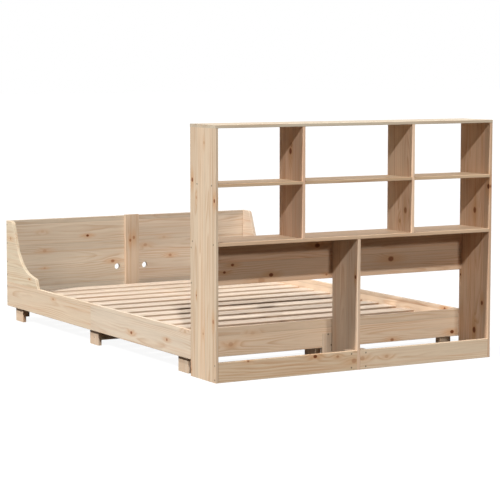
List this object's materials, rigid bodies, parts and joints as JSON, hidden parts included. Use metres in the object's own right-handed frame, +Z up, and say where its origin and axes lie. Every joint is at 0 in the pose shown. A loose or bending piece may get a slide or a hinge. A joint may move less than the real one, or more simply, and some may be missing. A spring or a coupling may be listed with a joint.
{
  "type": "bed frame",
  "caption": "Pine bed frame with an open bookcase across its foot, a low slatted base between plain rails, and a headboard with curved side wings.",
  "frame": {"origin": "on the floor, at the middle of the bed's outline", "axes": "+Y from the bookcase's front to the back of the headboard, +Z up, +X to the right of someone facing the bookcase"},
  "size_m": [1.455, 2.325, 1.105],
  "materials": {
    "bookcase_pine": "planed pine, clear matt",
    "rail_pine": "planed pine, clear matt",
    "headboard_pine": "planed pine, clear matt",
    "slat_pine": "planed pine, bare",
    "support_pine": "planed pine, bare",
    "dowel_beech": "turned beech, bare",
    "screw_steel": "yellow-passivated steel"
  },
  "bodies": {
    "root": {"bookcase_side_left": "bookcase_pine", "bookcase_side_right": "bookcase_pine", "bookcase_top": "bookcase_pine", "centre_beam_foot": "support_pine", "centre_beam_head": "support_pine", "centre_leg_foot": "support_pine", "centre_leg_head": "support_pine", "centre_leg_mid": "support_pine", "corner_cleats": "support_pine", "cross_beam": "support_pine", "dowels": "dowel_beech", "foot_post": "rail_pine", "foot_rail": "rail_pine", "headboard_panel_left": "headboard_pine", "headboard_panel_right": "headboard_pine", "headboard_strip": "headboard_pine", "leg_blocks": "support_pine", "leg_left_foot": "support_pine", "leg_left_head": "support_pine", "leg_left_mid": "support_pine", "leg_right_foot": "support_pine", "leg_right_head": "support_pine", "leg_right_mid": "support_pine", "long_screws": "screw_steel", "long_shelf": "bookcase_pine", "lower_divider": "bookcase_pine", "plinth_cleats": "support_pine", "plinth_left": "bookcase_pine", "plinth_right": "bookcase_pine", "rear_board": "bookcase_pine", "short_screws": "screw_steel", "short_shelf_left": "bookcase_pine", "short_shelf_middle": "bookcase_pine", "short_shelf_right": "bookcase_pine", "side_rail_left_foot": "rail_pine", "side_rail_left_head": "rail_pine", "side_rail_right_foot": "rail_pine", "side_rail_right_head": "rail_pine", "slat_01": "slat_pine", "slat_02": "slat_pine", "slat_03": "slat_pine", "slat_04": "slat_pine", "slat_05": "slat_pine", "slat_06": "slat_pine", "slat_07": "slat_pine", "slat_08": "slat_pine", "slat_09": "slat_pine", "slat_10": "slat_pine", "slat_11": "slat_pine", "slat_12": "slat_pine", "slat_13": "slat_pine", "slat_batten_left_foot": "support_pine", "slat_batten_left_head": "support_pine", "slat_batten_right_foot": "support_pine", "slat_batten_right_head": "support_pine", "upper_divider_left": "bookcase_pine", "upper_divider_right": "bookcase_pine", "wing_left": "headboard_pine", "wing_right": "headboard_pine"}
  },
  "joints": []
}
